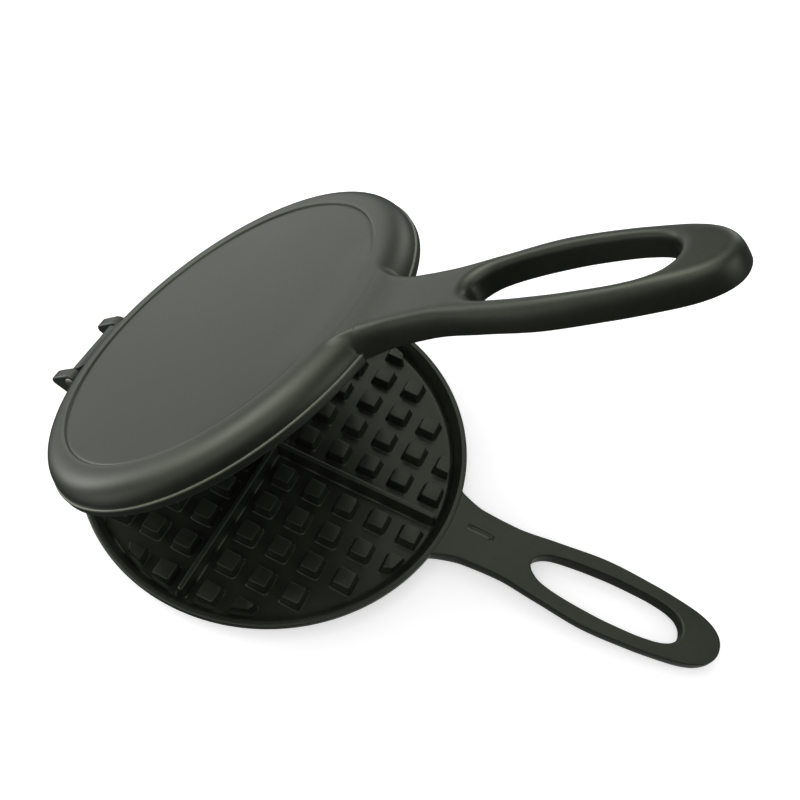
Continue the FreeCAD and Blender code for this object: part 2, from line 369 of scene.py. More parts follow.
def plate_outline():
    """Points from the centre of the outside round the rim to the centre of the dish floor.

    A height of None is worked out later, from the formulas of the outside."""
    top = [(r, None) for r in TOP_RINGS] + [(r, None) for r, _ in shoulder_line]
    high, start = RIM_LINE[-1]
    low = PLATE_RADIUS - RIM_LAND - WALL_SLANT
    wall = [(high - (high - low) * s, start + WALL_DEPTH * s) for s in (0.2, 0.4, 0.6, 0.8, 1.0)]
    corner = []
    for i in range(1, 7):
        a = math.pi / 2 * i / 6
        corner.append((low - DISH_ROUND * (1 - math.cos(a)),
                       start + WALL_DEPTH + DISH_ROUND * math.sin(a)))
    return top + list(RIM_LINE) + wall + corner + [(r, FLOOR_HEIGHT) for r in FLOOR_RINGS]


# %% The plate
FINE_SECTOR = 36
FINE_STEP = 0.36
HANDLE_FROM = 58.0
SIDE_SLOPE = 3.0
FAR_BELOW = -50.0


def plate_mesh():
    """Sweep the outline round, in finer steps where the handle's root rises from the plate."""
    rows = plate_outline()
    fine = np.arange(-FINE_SECTOR, FINE_SECTOR, FINE_STEP)
    coarse = np.linspace(FINE_SECTOR, 360 - FINE_SECTOR, 245)[:-1]
    turns = np.radians(np.concatenate([fine, coarse]))
    segments = len(turns)
    points = []
    for radius, height in rows:
        x = radius * np.cos(turns)
        y = radius * np.sin(turns)
        if height is None:
            root = x > HANDLE_FROM
            lift = np.full(segments, FAR_BELOW)
            inner = np.zeros(segments)
            away = distance_to(edge_line, x[root], y[root])
            within = np.abs(y[root]) < width_at(x[root])
            rise = handle_top(x[root], away)
            lift[root] = np.where(within, rise, HANDLE_GAP - SIDE_SLOPE * away)
            inner[root] = np.where(within, away, 0)
            z = joined_top(x, y, plate_top(x, y), lift, inner)
        else:
            z = np.full(segments, float(height))
        points.append(np.column_stack([x, y, z]))
    return np.concatenate(points), sheet_faces(len(rows), segments, closed=True)


plate_points, plate_faces = plate_mesh()
print("plate", len(plate_faces), "faces")

# %% [markdown]
# The handle forks round its slot. In front of the slot it is made of cross sections, and round
# the slot it is a ring: each column of points runs from the outer edge over the rounded outside
# to the slot, down the slot's wall, and back along the flat face. Both parts share the points
# where they meet, so they weld into one closed skin.

# %% The handle
EDGE = 0.7
SLOT_ROUND = 3.3
SLOT_FLARE = ((137, 152), (4.6, SLOT_ROUND))
FACE_ROUND = 0.8
SINK = ((90.2, 92.4, 94.0), (2.2, 0.03, 0.0))
FACE_CLIMB = ((93.0, 94.2), (10.0, 0.0))
SIDE_INSET = ((93.2, 94.2), (0.8, 0.0))
LEAST_METAL = 0.5
FAR_FROM_SLOT = 9.0
FAN_SHARE = 0.17
WALL_STEPS = (0.33, 0.66)
ACROSS = (0, .16, .32, .47, .6, .72, .81, .88, .93, .965, .985, .995, .999, 1.0)
INWARD = (0, .0012, .006, .016, .034, .062, .10, .15, .22, .31, .42, .54, .66, .76, .84, .90,
          .945, .975, .992, 1.0)


def outside_height(x, y):
    """The handle's outside, sunk a little where the plate's own skin already shows it."""
    away = distance_to(edge_line, x, y)
    z = np.maximum(handle_top(x, away), HANDLE_GAP + EDGE)
    return joined_top(x, y, plate_top(x, y), z, away) - np.interp(np.hypot(x, y), *SINK)


def flat_height(x, y):
    """The handle's flat face. Under the plate it climbs inside the rim, clear of the dish."""
    away = distance_to(edge_line, x, y)
    slot = np.where(x > FORK, distance_to(slot_line, x, y), FAR_FROM_SLOT)
    face = HANDLE_GAP + np.maximum(rounding(away, EDGE), rounding(slot, FACE_ROUND))
    return face + np.interp(np.hypot(x, y), *FACE_CLIMB)


def handle_root():
    """Cross sections from under the plate to the fork."""
    across = np.array([-a for a in ACROSS[:0:-1]] + list(ACROSS))
    stations = np.concatenate([np.linspace(86, 97, 34)[:-1], np.linspace(97, 106, 16)[:-1],
                               np.linspace(106, FORK, 14)])
    points = []
    for x in stations:
        half = float(width_at(x))
        y = across * (half - np.interp(math.hypot(x, half), *SIDE_INSET))
        xs = np.full(len(y), x)
        skin = outside_height(xs, y)
        top = np.column_stack([xs, y, skin])
        face = np.minimum(flat_height(xs, y), skin - LEAST_METAL)
        points.append(np.concatenate([top, np.column_stack([xs, y, face])[-2:0:-1]]))
    count = len(points[0])
    faces = sheet_faces(len(points), count, closed=True)
    faces.append(tuple(range(count)))
    return np.concatenate(points), faces


def handle_ring(columns=74):
    """The two rails and the tip, round the finger slot."""
    fan = len(ACROSS) - 1
    turns = np.concatenate([np.linspace(0, FAN_SHARE, fan + 1),
                            np.linspace(FAN_SHARE, 1, columns)[1:]])
    inner_x = SLOT_START + (SLOT_END - SLOT_START) * (1 - np.cos(math.pi * turns)) / 2
    inner_y = slot_at(inner_x)
    start = inner_x[fan]
    outer_x = np.where(turns <= FAN_SHARE, FORK,
                       FORK + (HANDLE_TIP - FORK) * (inner_x - start) / (SLOT_END - start))
    outer_y = width_at(outer_x)
    outer_y[: fan + 1] = np.array(ACROSS) * float(width_at(FORK))
    half = []
    for k in range(len(turns)):
        x = outer_x[k] + (inner_x[k] - outer_x[k]) * np.array(INWARD)
        y = outer_y[k] + (inner_y[k] - outer_y[k]) * np.array(INWARD)
        top = outside_height(x, y)
        top -= rounding(distance_to(slot_line, x, y), np.interp(x, *SLOT_FLARE))
        flat = flat_height(x, y)
        if k >= fan:
            top[0] = HANDLE_GAP + EDGE
            flat[0] = HANDLE_GAP + EDGE
        column = [np.column_stack([x, y, top])]
        wall = top[-1] + (flat[-1] - top[-1]) * np.array(WALL_STEPS)
        column.append(np.column_stack([np.full(2, x[-1]), np.full(2, y[-1]), wall]))
        column.append(np.column_stack([x, y, flat])[::-1])
        half.append(np.concatenate(column))
    other = [c * np.array([1, -1, 1]) for c in half[-2:0:-1]]
    around = half + other
    count = len(around[0])
    faces = []
    for i in range(len(around)):
        a = i * count
        b = (i + 1) % len(around) * count
        for j in range(count - 1):
            faces.append((a + j, a + j + 1, b + j + 1, b + j))
    return np.concatenate(around), faces


root_points, root_faces = handle_root()
ring_points, ring_faces = handle_ring()
handle_points = np.concatenate([root_points, ring_points])
handle_faces = root_faces + [tuple(i + len(root_points) for i in f) for f in ring_faces]
print("handle", len(handle_faces), "faces")

# %% [markdown]
# On the stove the handles must be easy to part, so each rises from the parting face, the upper one
# more than the lower. Past the bend the points are lifted by their share of the way to the tip,
# with an arch for the upper handle. A soft start at the bend keeps a crease from showing.

# %% The handle's bend
def lifted(points, rise, arch):
    """The handle's points, raised past the bend by rise at the tip and by arch halfway."""
    out = np.array(points, float)
    past = out[:, 0] - HANDLE_BEND
    soft = np.clip(past + BEND_SOFT, 0, 2 * BEND_SOFT) ** 2 / (4 * BEND_SOFT)
    share = np.where(past > BEND_SOFT, past, soft) / (HANDLE_TIP - HANDLE_BEND)
    out[:, 2] += rise * share + arch * 4 * share * (1 - share)
    return out


print("handle tips rise by", LIFTS["lower"][0], "and", LIFTS["upper"][0], "mm")

# %% [markdown]
# Two ribs part the waffle into quarters. Each rib is a stack of rounded outlines that get wider
# towards the floor of the dish, because a casting needs that draft to leave its mould.

# %% Dividers
RIB_REACH = 87.0
RIB_HALF = 1.2


def stadium(length, half, height, segments=10):
    """A closed loop of points round a bar with half-round ends, along X."""
    points = []
    for side in (1, -1):
        for i in range(segments + 1):
            a = math.pi * (i / segments - 0.5)
            reach = length - half + half * math.cos(a)
            points.append((side * reach, side * half * math.sin(a), height))
    return points


def rib_mesh(length, across):
    """One rib. Each level is a height and how much wider the outline is there."""
    levels = ((1.40, -0.75), (1.42, -0.5), (1.52, -0.24), (1.68, -0.08), (1.9, 0.0), (4.5, 0.45),
              (7.2, 1.0), (7.9, 1.25), (8.3, 1.6), (8.6, 2.1))
    points = []
    for height, grow in levels:
        points += stadium(length + grow, RIB_HALF + grow, height)
    if across:
        points = [(y, -x, z) for x, y, z in points]
    count = len(points) // len(levels)
    faces = sheet_faces(len(levels), count, closed=True)
    faces.append(tuple(range(count)))
    faces.append(tuple(range(len(points) - count, len(points))))
    return np.array(points, float), faces


def together(*meshes):
    """Several lists of points and faces as one."""
    points = []
    faces = []
    for part_points, part_faces in meshes:
        start = sum(len(p) for p in points)
        points.append(np.asarray(part_points, float))
        faces += [tuple(i + start for i in f) for f in part_faces]
    return np.concatenate(points), faces


divider_points, divider_faces = together(rib_mesh(RIB_REACH, False), rib_mesh(RIB_REACH, True))
print("dividers", len(divider_faces), "faces")

# %% [markdown]
# The pegs repeat on a square grid, so Geometry Nodes make them: a grid of points, one peg on
# each, and those that would meet the rim are pressed back inside it. The tree has named inputs
# for the sizes. One quarter is made and then mirrored, as the pattern itself is.

# %% One peg
PEG_PITCH = 17.05
PEG_FIRST = (11.55, 12.8)
PEG_TOP = 2.83
PEG_HALF = 4.15
PEG_CORNER = 0.8
PEG_ROWS = 5
PEG_LIMIT = 86.4
PEG_SPARE = 1.6


def peg_mesh():
    """A tapered square peg with rounded corners and a spread foot. It hangs top down."""
    levels = ((0.0, -0.32), (0.04, -0.17), (0.13, -0.05), (0.3, 0.02), (2.6, 0.5), (4.9, 1.05),
              (5.3, 1.2), (5.6, 1.5), (5.8, 1.9))
    points = []
    for height, grow in levels:
        corner = PEG_CORNER + max(grow, 0) * 0.5
        flat = PEG_HALF + grow - corner
        for quarter in range(4):
            for step in range(4):
                a = math.pi / 2 * (quarter + step / 3)
                sx = 1 if quarter in (0, 3) else -1
                sy = 1 if quarter in (0, 1) else -1
                points.append((sx * flat + corner * math.cos(a), sy * flat + corner * math.sin(a),
                               PEG_TOP + height))
    count = len(points) // len(levels)
    faces = sheet_faces(len(levels), count, closed=True)
    faces.append(tuple(range(count)))
    return np.array(points), faces


one_points, one_faces = peg_mesh()
print("one peg", len(one_faces), "faces")

# %% [markdown]
# A tree is built node by node. A small function adds a node, sets it and links what feeds it. The
# grid's points beyond the rim are deleted, and a point that is too near to it is drawn inwards,
# after Realize Instances has turned every peg into real faces. Set Material comes last.

# %% The tree that sets out the pegs
def set_input(modifier, tree, name, value):
    """Set a tree's input by its socket's identifier."""
    for item in tree.interface.items_tree:
        if item.item_type == "SOCKET" and item.in_out == "INPUT" and item.name == name:
            modifier[item.identifier] = value
            return
    raise KeyError(name)


def peg_tree(peg, finish):
    """Geometry Nodes that stand a peg on each point of a grid and keep all inside the rim."""
    tree = bpy.data.node_groups.new("waffle pegs", "GeometryNodeTree")
    face = tree.interface
    face.new_socket("Geometry", in_out="INPUT", socket_type="NodeSocketGeometry")
    for name in ("Pitch", "First X", "First Y", "Limit Radius"):
        face.new_socket(name, in_out="INPUT", socket_type="NodeSocketFloat")
    face.new_socket("Rows", in_out="INPUT", socket_type="NodeSocketInt")
    face.new_socket("Geometry", in_out="OUTPUT", socket_type="NodeSocketGeometry")

    def add(kind, links=None, **settings):
        node = tree.nodes.new(kind)
        for key, value in settings.items():
            setattr(node, key, value)
        for key, value in (links or {}).items():
            if isinstance(value, bpy.types.NodeSocket):
                tree.links.new(value, node.inputs[key])
            else:
                node.inputs[key].default_value = value
        return node

    def maths(operation, a, b):
        return add("ShaderNodeMath", {0: a, 1: b}, operation=operation).outputs[0]

    def vectors(operation, a, b):
        return add("ShaderNodeVectorMath", {0: a, 1: b}, operation=operation).outputs[0]

    inputs = add("NodeGroupInput").outputs
    side = maths("MULTIPLY", inputs["Pitch"], maths("SUBTRACT", inputs["Rows"], 1.0))
    grid = add("GeometryNodeMeshGrid", {"Size X": side, "Size Y": side,
                                        "Vertices X": inputs["Rows"], "Vertices Y": inputs["Rows"]})
    half = maths("MULTIPLY", side, 0.5)
    corner = add("ShaderNodeCombineXYZ", {"X": maths("ADD", inputs["First X"], half),
                                          "Y": maths("ADD", inputs["First Y"], half)})
    moved = add("GeometryNodeSetPosition", {"Geometry": grid.outputs["Mesh"],
                                            "Offset": corner.outputs[0]})
    place = add("GeometryNodeInputPosition").outputs[0]
    reach = add("ShaderNodeVectorMath", {0: place}, operation="LENGTH").outputs["Value"]
    limit = maths("ADD", inputs["Limit Radius"], PEG_SPARE * MM)
    outside = add("FunctionNodeCompare", {0: reach, 1: limit},
                  data_type="FLOAT", operation="GREATER_THAN").outputs[0]
    kept = add("GeometryNodeDeleteGeometry", {"Geometry": moved.outputs[0], "Selection": outside},
               domain="POINT")
    shape = add("GeometryNodeObjectInfo", {"Object": peg}, transform_space="ORIGINAL")
    stood = add("GeometryNodeInstanceOnPoints", {"Points": kept.outputs[0],
                                                 "Instance": shape.outputs["Geometry"]})
    real = add("GeometryNodeRealizeInstances", {"Geometry": stood.outputs[0]})
    split = add("ShaderNodeSeparateXYZ", {0: place}).outputs
    flat = add("ShaderNodeCombineXYZ", {"X": split[0], "Y": split[1]}).outputs[0]
    away = add("ShaderNodeVectorMath", {0: flat}, operation="LENGTH").outputs["Value"]
    share = maths("MINIMUM", maths("DIVIDE", inputs["Limit Radius"], away), 1.0)
    pressed = vectors("MULTIPLY", place, add("ShaderNodeCombineXYZ", {
        "X": share, "Y": share, "Z": 1.0}).outputs[0])
    trimmed = add("GeometryNodeSetPosition", {"Geometry": real.outputs[0], "Position": pressed})
    painted = add("GeometryNodeSetMaterial", {"Geometry": trimmed.outputs[0], "Material": finish})
    out = add("NodeGroupOutput")
    tree.links.new(painted.outputs[0], out.inputs[0])
    return tree


iron = bpy.data.materials.new("cast_iron_skin")
one_peg = add_mesh("one_peg", one_points * MM, one_faces)
tree = peg_tree(one_peg, iron)
quarter = bpy.data.objects.new("quarter", bpy.data.meshes.new("quarter"))
bpy.context.scene.collection.objects.link(quarter)
modifier = quarter.modifiers.new("pegs", "NODES")
modifier.node_group = tree
for name, value in (("Pitch", PEG_PITCH * MM), ("First X", PEG_FIRST[0] * MM),
                    ("First Y", PEG_FIRST[1] * MM), ("Limit Radius", PEG_LIMIT * MM),
                    ("Rows", PEG_ROWS)):
    set_input(modifier, tree, name, value)
seen = quarter.evaluated_get(bpy.context.evaluated_depsgraph_get())
quarter_mesh = bpy.data.meshes.new_from_object(seen)
quarter_points = np.array([v.co for v in quarter_mesh.vertices]) / MM
quarter_faces = [tuple(p.vertices) for p in quarter_mesh.polygons]
for helper in (quarter, one_peg):
    bpy.data.objects.remove(helper)
print("one quarter of pegs", len(quarter_faces), "faces")

# %% The other three quarters
def all_pegs():
    """The quarter and its mirror images. add_mesh turns the mirrored faces outwards again."""
    parts = []
    for sx, sy in ((1, 1), (-1, 1), (-1, -1), (1, -1)):
        parts.append((quarter_points * np.array([sx, sy, 1]), quarter_faces))
    return together(*parts)


peg_points, peg_faces = all_pegs()
print("pegs of one casting", len(peg_faces), "faces")

# %% [markdown]
# The hinge is cast with the halves. The lower one has two raised ears with an eye for the pin,
# and the upper one a knuckle between them, with a heel that stops the lid when it is wide open.
# Each is an outline pulled along the pin and softened with a bevel.

# %% Hinge shapes
def pulled(outline, low, high):
    """A prism along Y from a closed outline of (x, z) points."""
    count = len(outline)
    points = [(x, low, z) for x, z in outline] + [(x, high, z) for x, z in outline]
    faces = [tuple(range(count)), tuple(range(2 * count - 1, count - 1, -1))]
    for i in range(count):
        j = (i + 1) % count
        faces.append((i, j, count + j, count + i))
    return np.array(points, float), faces


def arc(centre, radius, start, end, steps):
    points = []
    for i in range(steps + 1):
        a = math.radians(start + (end - start) * i / steps)
        points.append((centre[0] + radius * math.cos(a), centre[1] + radius * math.sin(a)))
    return points


def turned(centre, steps, rings):
    """A turned shape along Y from (y, radius) rings, closed at both ends."""
    points = []
    for y, radius in rings:
        for x, z in arc(centre, radius, 0, 360 - 360 / steps, steps - 1):
            points.append((x, y, z))
    faces = sheet_faces(len(rings), steps, closed=True)
    faces.append(tuple(range(steps)))
    faces.append(tuple(range(len(points) - steps, len(points))))
    return np.array(points, float), faces


EAR_INNER = 16.0
EAR_OUTER = 22.0
ear_outline = [(-88.0, -9.6), (-106.6, -9.6), (-107.9, -9.3)]
ear_outline += [(-116.6, -5.0), (-117.3, -4.2), (-117.5, -3.0), (-117.4, -1.6), (-116.9, -0.6)]
ear_outline += [(-112.8, 3.3), (-109.3, 6.2)]
ear_outline += arc(PIN, 4.8, 135, 45, 8)
ear_outline += [(-99.2, 6.6), (-98.5, 5.2), (-98.4, 4.0), (-98.4, -0.4), (-88.0, -0.5)]
ear_shapes = [pulled(ear_outline, EAR_INNER, EAR_OUTER),
              pulled(ear_outline, -EAR_OUTER, -EAR_INNER)]
shelf_outline = [(-88.0, -9.6), (-101.8, -9.6), (-102.7, -9.3), (-103.0, -8.6), (-103.0, -7.3),
                 (-102.7, -6.6), (-101.8, -6.3), (-88.0, -6.3)]
shelf_shape = pulled(shelf_outline, -EAR_INNER - 1, EAR_INNER + 1)
ear_points, ear_faces = together(*ear_shapes, shelf_shape)

knuckle_rings = [(-15.6, 3.5), (-15.45, 3.8), (-15.1, 4.0), (15.1, 4.0), (15.45, 3.8), (15.6, 3.5)]
knuckle_shape = turned(PIN, 48, knuckle_rings)
web_outline = [(-104.0, 8.4), (-101.5, 8.3), (-98.0, 8.9), (-93.0, 10.2), (-88.0, 10.8),
               (-88.0, 1.2), (-95.2, 1.25), (-100.0, 1.0), (-104.0, 0.7)]
web_shape = pulled(web_outline, -15.2, 15.2)
stop_turn = math.radians(208.0)
stop_along = np.array([math.cos(stop_turn), math.sin(stop_turn)])
stop_side = np.array([-stop_along[1], stop_along[0]])
stop_outline = []
for reach, lateral in ((0, -2), (9.3, -2), (10.0, -1.7), (10.2, -1), (10.2, 1), (10.0, 1.7),
                       (9.3, 2), (0, 2)):
    at = np.array(PIN) + stop_along * reach + stop_side * lateral
    stop_outline.append((float(at[0]), float(at[1])))
stop_shape = pulled(stop_outline, -4.8, 4.8)
knuckle_points, knuckle_faces = together(knuckle_shape, web_shape, stop_shape)

pin_rings = [(-23.2, 2.2), (-23.1, 2.6), (-22.8, 3.0), (-22.5, 3.15), (-22.1, 3.2), (-22.0, 3.1),
             (-22.0, 2.0), (22.0, 2.0), (22.0, 3.1), (22.1, 3.2), (22.5, 3.15), (22.8, 3.0),
             (23.1, 2.6), (23.2, 2.2)]
pin_points, pin_faces = turned(PIN, 40, pin_rings)
print("hinge", len(ear_faces) + len(knuckle_faces) + len(pin_faces), "faces")

# %% [markdown]
# Modifiers finish some pieces: a bevel takes the sharp edges off the hinge, as a file would. Each
# result is kept as a plain mesh, so nothing is left live on a piece.

# %% Finishing a mesh
def settle(piece):
    """Keep what a piece's modifiers make as its plain mesh."""
    mesh = bpy.data.meshes.new_from_object(
        piece.evaluated_get(bpy.context.evaluated_depsgraph_get()))
    piece.modifiers.clear()
    piece.data = mesh


def soften(piece, width, segments=3):
    """Round a piece's hard edges with a bevel that is applied to the mesh."""
    bevel = piece.modifiers.new("soft edges", "BEVEL")
    bevel.width = width * MM
    bevel.segments = segments
    bevel.limit_method = "ANGLE"
    bevel.angle_limit = math.radians(32)
    settle(piece)
    for polygon in piece.data.polygons:
        polygon.use_smooth = True


print("bevels ready")

# %% [markdown]
# A short hooked groove is cut into the flat face of the lower handle, near the root. A rod bent
# along the groove's line is taken away from the handle with a Boolean, which leaves the round
# bottom that a small gouge in the pattern would. The line's points are in the drawing pose.

# %% The groove
GROOVE = ((102.7, 2.7), (105.9, 3.2), (110.1, 3.1), (114.1, 3.0), (116.0, 2.7), (115.9, 0.9))
GROOVE_SIZE = 0.95
GROOVE_LEVEL = 0.45


def groove_cutter(steps=30, sides=16):
    """A bent rod that leaves a short shallow groove in the flat face of the lower handle."""
    path = np.array(GROOVE)
    run = np.concatenate([[0], np.cumsum(np.hypot(*np.diff(path, axis=0).T))])
    at = np.linspace(0, run[-1], steps)
    line = np.column_stack([np.interp(at, run, path[:, 0]), np.interp(at, run, path[:, 1])])
    for _ in range(2):
        line[1:-1] = (line[:-2] + 2 * line[1:-1] + line[2:]) / 4
    ahead = np.gradient(line, axis=0)
    ahead /= np.hypot(ahead[:, :1], ahead[:, 1:])
    rings = []
    for step in range(steps):
        ends = min(1.0, 0.4 + 0.2 * min(step, steps - 1 - step))
        out = np.array([-ahead[step, 1], ahead[step, 0], 0])
        middle = np.array([line[step, 0], line[step, 1], GROOVE_LEVEL])
        for k in range(sides):
            a = 2 * math.pi * k / sides
            around = math.cos(a) * out + math.sin(a) * np.array([0, 0, 1])
            rings.append(middle + GROOVE_SIZE * ends * around)
    faces = sheet_faces(steps, sides, closed=True)
    faces += [tuple(range(sides)), tuple(range((steps - 1) * sides, steps * sides))]
    return np.array(rings), faces


def carve(piece, cutter):
    """Cut one mesh out of another."""
    cut = piece.modifiers.new("groove", "BOOLEAN")
    cut.operation = "DIFFERENCE"
    cut.solver = "EXACT"
    cut.object = cutter
    settle(piece)
    bpy.data.objects.remove(cutter)


print("groove has", len(GROOVE), "points")

# %% [markdown]
# Now the pieces go to their places. The lower casting is turned over and the upper one swings
# open about the pin. Both are made from the same four shapes, as both came from one pattern.

# %% Pieces of both castings
made = []
shapes = {
    "plate": (plate_points, plate_faces),
    "handle": (handle_points, handle_faces),
    "dividers": (divider_points, divider_faces),
    "pegs": (peg_points, peg_faces),
}
halves = (("lower", lower_place, "lower_half"), ("upper", upper_place, "upper_half"))
for half, place, node in halves:
    for name, (points, faces) in shapes.items():
        if name == "handle":
            points = lifted(points, *LIFTS[half])
        piece = add_mesh(half + "_" + name, place(points), faces)
        if piece.name == "lower_handle":
            rod_points, rod_faces = groove_cutter()
            carve(piece, add_mesh("cutter", place(rod_points), rod_faces))
        made.append((piece, half, node))
for name, points, faces, place, half, node, bevel in (
    ("lower_ears", ear_points, ear_faces, pin_place, "lower", "lower_half", 0.9),
    ("upper_knuckle", knuckle_points, knuckle_faces, upper_place, "upper", "upper_half", 0.5),
    ("pin", pin_points, pin_faces, pin_place, "lower", "hinge_pin", 0),
):
    piece = add_mesh(name, place(points), faces)
    if bevel:
        soften(piece, bevel)
    made.append((piece, half, node))
print("pieces", [p.name for p, _, _ in made])

# %% [markdown]
# A finish is a tree of shader nodes. One method adds any node and fills its sockets, and a small
# class lets a varying number be used in plain sums, each of which adds a Math node.

# %% Tools for finishes
class Finish:
    """A material's node tree, with one method for any node."""

    def __init__(self, material):
        material.use_nodes = True
        self.tree = material.node_tree
        self.tree.nodes.clear()

    def node(self, kind, settings=None, **sockets):
        made_node = self.tree.nodes.new(kind)
        for key, value in (settings or {}).items():
            if key == "stops":
                ramp = made_node.color_ramp
                while len(ramp.elements) < len(value):
                    ramp.elements.new(0.5)
                for stop, (position, colour) in zip(ramp.elements, value):
                    stop.position = position
                    stop.color = colour
            else:
                setattr(made_node, key, value)
        for key, value in sockets.items():
            name = key.replace("_", " ")
            numbered = name[1:].isdigit()
            socket = made_node.inputs[int(name[1:]) if numbered else name]
            if isinstance(value, Value):
                value = value.socket
            if isinstance(value, bpy.types.NodeSocket):
                self.tree.links.new(value, socket)
            else:
                socket.default_value = value
        return made_node

    def show(self, shader, output="ShaderNodeOutputMaterial"):
        self.tree.links.new(shader.outputs[0], self.node(output).inputs[0])


class Value:
    """A number that varies over a surface. Sums on it add Math nodes."""

    def __init__(self, finish, socket):
        self.finish = finish
        self.socket = socket

    def maths(self, operation, a, b):
        node = self.finish.node("ShaderNodeMath", {"operation": operation}, i0=a, i1=b)
        return Value(self.finish, node.outputs[0])

    def __add__(self, other):
        return self.maths("ADD", self, other)

    __radd__ = __add__

    def __sub__(self, other):
        return self.maths("SUBTRACT", self, other)

    def __rsub__(self, other):
        return self.maths("SUBTRACT", other, self)

    def __mul__(self, other):
        return self.maths("MULTIPLY", self, other)

    __rmul__ = __mul__

    def exponent(self):
        return self.maths("EXPONENT", self, 0.0)

    def step(self, start, end):
        """0 before start and 1 after end, with a soft change between."""
        node = self.finish.node("ShaderNodeMapRange", {"interpolation_type": "SMOOTHSTEP"},
                                Value=self, From_Min=start, From_Max=end)
        return Value(self.finish, node.outputs[0])


print("finish tools ready")

# %% [markdown]
# On each casting the lip round the disc and the ledge above the rim are painted brighter. This is a
# painted highlight along these edges, and in part the rubbing wear of a seasoned pan. A Mapping
# node moves the pattern's centre to the plate's axis, and rings are then picked out by radius and
# height, in millimetres.

# %% Painted highlight rings, partly wear
# Radii and heights, in mm, of the lip and ledge rings that get a painted highlight.
LEDGE_HIGHLIGHT_RADII = ((93.9, 94.5), (95.1, 95.5))
LEDGE_HEIGHTS = ((2.7, 3.2), (3.7, 4.0))
LIP_HIGHLIGHT_RADII = ((79.6, 80.1), (80.9, 81.8))
LIP_HEIGHT = (12.5, 12.9)
ROOT_FADE = (62.0, 74.0)
LIP_SHARE = 0.25


def highlight_and_wear_rings(finish, where, centre, turn, up):
    """How much one casting's lip and ledge are painted brighter, a painted highlight that is partly
    wear. up is -1 if it lies on its back.
    """
    local = finish.node("ShaderNodeMapping", {"vector_type": "TEXTURE"}, Vector=where,
                        Location=centre, Rotation=turn).outputs[0]
    part = finish.node("ShaderNodeSeparateXYZ", None, i0=local).outputs
    flat = finish.node("ShaderNodeCombineXYZ", None, X=part[0], Y=part[1]).outputs[0]
    length = finish.node("ShaderNodeVectorMath", {"operation": "LENGTH"}, i0=flat)
    radius = Value(finish, length.outputs["Value"]) * (1 / MM)
    along = Value(finish, part[0]) * (1 / MM)
    height = Value(finish, part[2]) * (up / MM)
    ledge = radius.step(*LEDGE_HIGHLIGHT_RADII[0]) * (1.0 - radius.step(*LEDGE_HIGHLIGHT_RADII[1]))
    ledge = ledge * height.step(*LEDGE_HEIGHTS[0]) * (1.0 - height.step(*LEDGE_HEIGHTS[1]))
    lip = radius.step(*LIP_HIGHLIGHT_RADII[0]) * (1.0 - radius.step(*LIP_HIGHLIGHT_RADII[1]))
    lip = lip * height.step(*LIP_HEIGHT) * (1.0 - along.step(*ROOT_FADE))
    return ledge + lip * LIP_SHARE


print("ledge is rubbed from radius", LEDGE_HIGHLIGHT_RADII[0][0], "mm")

# %% [markdown]
# Seasoned iron is oil baked black onto rough metal. The oil film hides the metal, so the shader
# is dark and not metallic, with a half dull gloss. The sand of the mould leaves a fine grain,
# which a weak Bump gives, and the oil lies in soft clouds that change tone and dullness. The
# noises read Object coordinates, so there is no seam. The pin is the same, but brighter metal.

# %% Seasoned iron and the bright pin
NOISES = (("grain", 1400.0, 3.0), ("cloud", 26.0, 4.0), ("pit", 420.0, 2.0))
CLOUD_SHARE = 0.7
PIT_SHARE = 0.3
BUMP_STRENGTH = 0.10
BUMP_DEPTH = 0.0003
DARKEST = (0.3, 0.72)
LIGHTEST = (0.7, 1.35)
CLOUD_DULL = 0.16
GRAIN_DULL = 0.1
# How much brighter the painted highlight rings are. Part of this stands for wear.
HIGHLIGHT_WEAR_GAIN = 4.5
OIL_TINT = (0.92, 1.0, 0.80, 1.0)


def seasoned(material, base, dull):
    """Seasoned iron: dark oil-black metal oxide with a fine sand-cast grain, and a painted
    highlight on lip and ledge that is partly wear.
    """
    finish = Finish(material)
    where = finish.node("ShaderNodeTexCoord").outputs["Object"]
    noise = {}
    for name, scale, detail in NOISES:
        node = finish.node("ShaderNodeTexNoise", None, Vector=where, Scale=scale, Detail=detail)
        noise[name] = Value(finish, node.outputs["Fac"])
    tone = noise["cloud"] * CLOUD_SHARE + noise["pit"] * PIT_SHARE
    stops = [(at, tuple(c * share for c in base) + (1.0,)) for at, share in (DARKEST, LIGHTEST)]
    colour = finish.node("ShaderNodeValToRGB", {"stops": stops}, Fac=tone)
    # The lip and ledge rings of both castings: a painted highlight, in part wear.
    highlight_and_wear = highlight_and_wear_rings(finish, where, (-MIDDLE * MM, 0, CASTING_DEPTH * MM), (0, 0, 0), -1)
    centre = tuple(float(c) for c in upper_place([(0, 0, 0)])[0])
    highlight_and_wear = highlight_and_wear + highlight_and_wear_rings(finish, where, centre, (0, -OPEN_ANGLE, 0), 1)
    # The base colour is scaled up on those rings. This is a painted highlight and only partly wear.
    highlighted = finish.node("ShaderNodeVectorMath", {"operation": "SCALE"}, i0=colour.outputs[0],
                         Scale=highlight_and_wear * HIGHLIGHT_WEAR_GAIN + 1.0)
    rough = dull + (noise["cloud"] - 0.5) * CLOUD_DULL + (noise["grain"] - 0.5) * GRAIN_DULL
    height = noise["grain"] * 0.5 + noise["pit"] * 0.5
    bump = finish.node("ShaderNodeBump", None, Strength=BUMP_STRENGTH, Distance=BUMP_DEPTH,
                       Height=height)
    shader = finish.node("ShaderNodeBsdfPrincipled", None, Base_Color=highlighted.outputs[0],
                         Roughness=rough, Normal=bump.outputs[0])
    shader.inputs["IOR"].default_value = 1.5
    shader.inputs["Specular Tint"].default_value = OIL_TINT
    finish.show(shader)
    return shader


